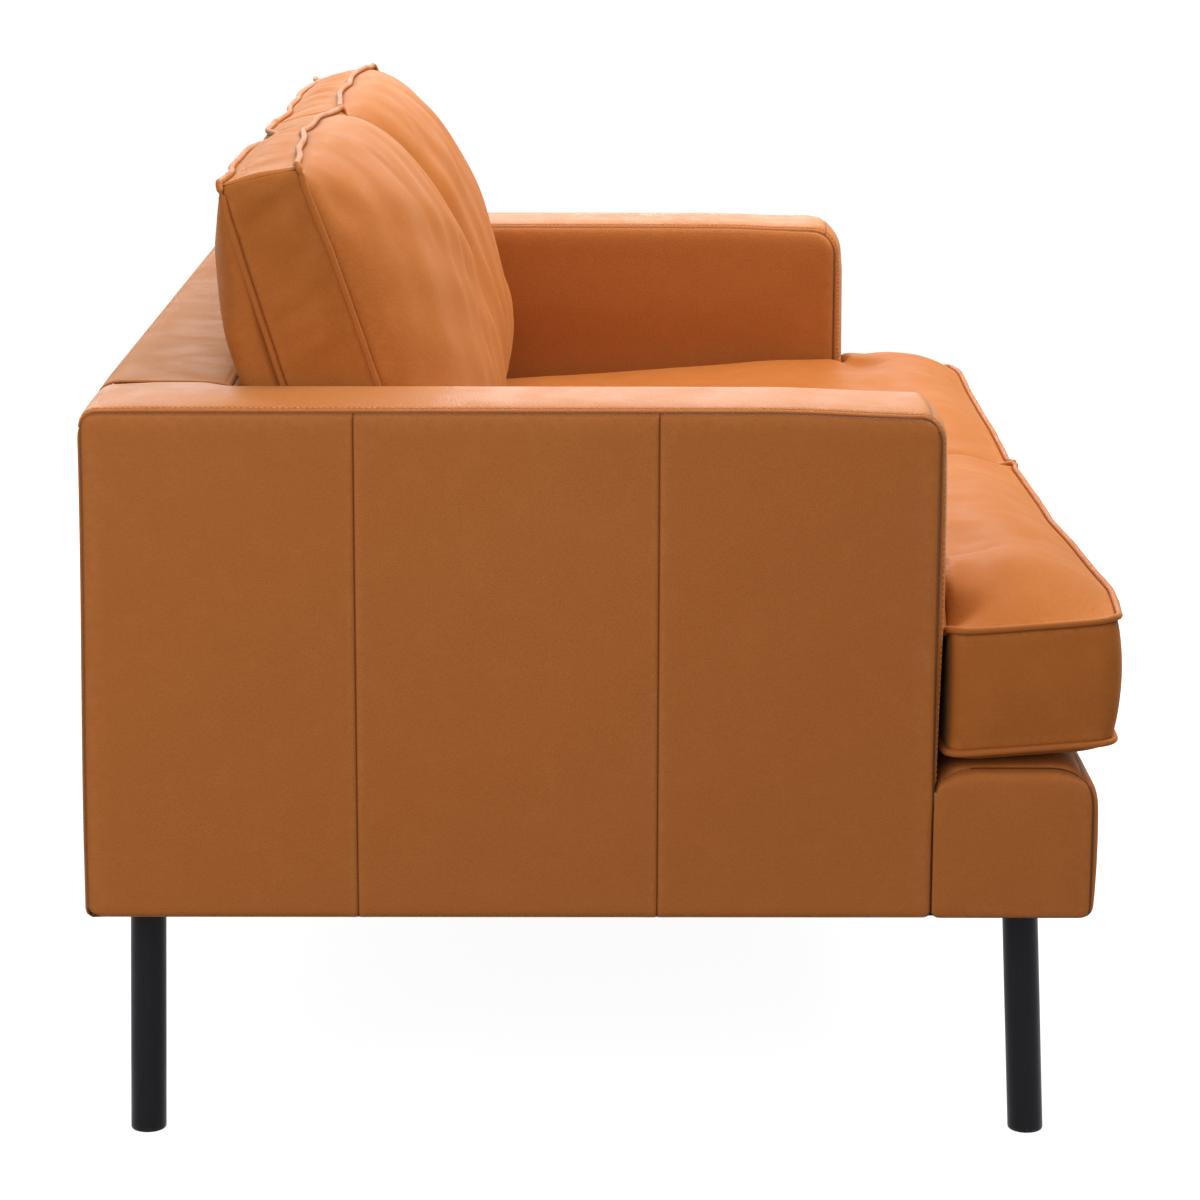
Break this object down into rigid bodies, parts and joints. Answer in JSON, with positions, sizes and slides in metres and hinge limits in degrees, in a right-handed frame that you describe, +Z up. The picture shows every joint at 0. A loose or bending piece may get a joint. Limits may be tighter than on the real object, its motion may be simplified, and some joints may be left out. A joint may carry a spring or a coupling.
{
  "type": "upholstered sofa",
  "caption": "Track-arm leather sofa with loose piped T-shaped seat cushions, loose leaning back cushions, a padded front rail and plain round black legs.",
  "frame": {"origin": "on the floor, under the middle of the sofa's overall box", "axes": "+X to the right as seen from the front, along the sofa's length; +Y to the back; +Z up"},
  "size_m": [1.5, 0.88, 0.8557],
  "materials": {
    "leather": "semi-matt caramel leather with a fine grain",
    "black_wood": "satin black paint over turned wood",
    "timber": "planed, unfinished",
    "plywood": "sanded, unfinished",
    "hardboard": "plain brown hardboard",
    "foam": "cream open-cell foam",
    "fibre_fill": "white fibre in a plain inner bag",
    "deck_cloth": "plain brown woven cloth",
    "dust_cloth": "thin black non-woven cloth",
    "spring_steel": "drawn wire, lightly oiled",
    "bolt_steel": "zinc plated",
    "thread": "tan sewing thread",
    "zip": "brown coil zip"
  },
  "bodies": {
    "frame": {"leg_front_left": "black_wood", "leg_front_right": "black_wood", "leg_rear_left": "black_wood", "leg_rear_right": "black_wood", "leg_bolt_front_left": "bolt_steel", "leg_bolt_front_right": "bolt_steel", "leg_bolt_rear_left": "bolt_steel", "leg_bolt_rear_right": "bolt_steel", "leg_block_front_left": "timber", "leg_block_front_right": "timber", "leg_block_rear_left": "timber", "leg_block_rear_right": "timber", "side_rail_left": "timber", "side_rail_right": "timber", "arm_front_board_left": "plywood", "arm_front_board_right": "plywood", "arm_top_rail_left": "timber", "arm_top_rail_right": "timber", "arm_outer_board_left": "hardboard", "arm_outer_board_right": "hardboard", "back_post_left": "plywood", "back_post_right": "plywood", "front_rail": "timber", "front_shelf": "plywood", "front_inner_rail": "timber", "back_lower_rail": "timber", "centre_stretcher": "timber", "rear_rail": "timber", "back_top_rail": "timber", "back_outer_board": "hardboard", "seat_spring_left_1": "spring_steel", "seat_spring_left_2": "spring_steel", "seat_spring_left_3": "spring_steel", "seat_spring_left_4": "spring_steel", "seat_spring_right_1": "spring_steel", "seat_spring_right_2": "spring_steel", "seat_spring_right_3": "spring_steel", "seat_spring_right_4": "spring_steel", "deck_cloth": "deck_cloth", "dust_cover": "dust_cloth", "arm_foam_left": "foam", "arm_foam_right": "foam", "back_foam": "foam", "front_foam": "foam", "arm_side_cover_left": "leather", "arm_side_cover_right": "leather", "arm_inner_cover_left": "leather", "arm_inner_cover_right": "leather", "border_band": "leather", "back_inner_cover": "leather", "back_outer_cover": "leather", "front_box_cover": "leather"},
    "seat_cushion_left": {"seat_cushion_cover_left": "leather", "seat_cushion_core_left": "foam"},
    "back_cushion_left": {"back_cushion_cover_left": "leather", "back_cushion_fill_left": "fibre_fill"},
    "seat_cushion_right": {"seat_cushion_cover_right": "leather", "seat_cushion_core_right": "foam"},
    "back_cushion_right": {"back_cushion_cover_right": "leather", "back_cushion_fill_right": "fibre_fill"}
  },
  "joints": [
    {"name": "seat_cushion_left_slide", "type": "slide", "parent": "frame", "child": "seat_cushion_left", "axis": [0, -0.9971, 0.0767], "range_m": [0, 0.72]},
    {"name": "back_cushion_left_lift", "type": "slide", "parent": "frame", "child": "back_cushion_left", "axis": [0, 0.309, 0.9511], "range_m": [0, 0.4]},
    {"name": "seat_cushion_right_slide", "type": "slide", "parent": "frame", "child": "seat_cushion_right", "axis": [0, -0.9971, 0.0767], "range_m": [0, 0.72]},
    {"name": "back_cushion_right_lift", "type": "slide", "parent": "frame", "child": "back_cushion_right", "axis": [0, 0.309, 0.9511], "range_m": [0, 0.4]}
  ]
}
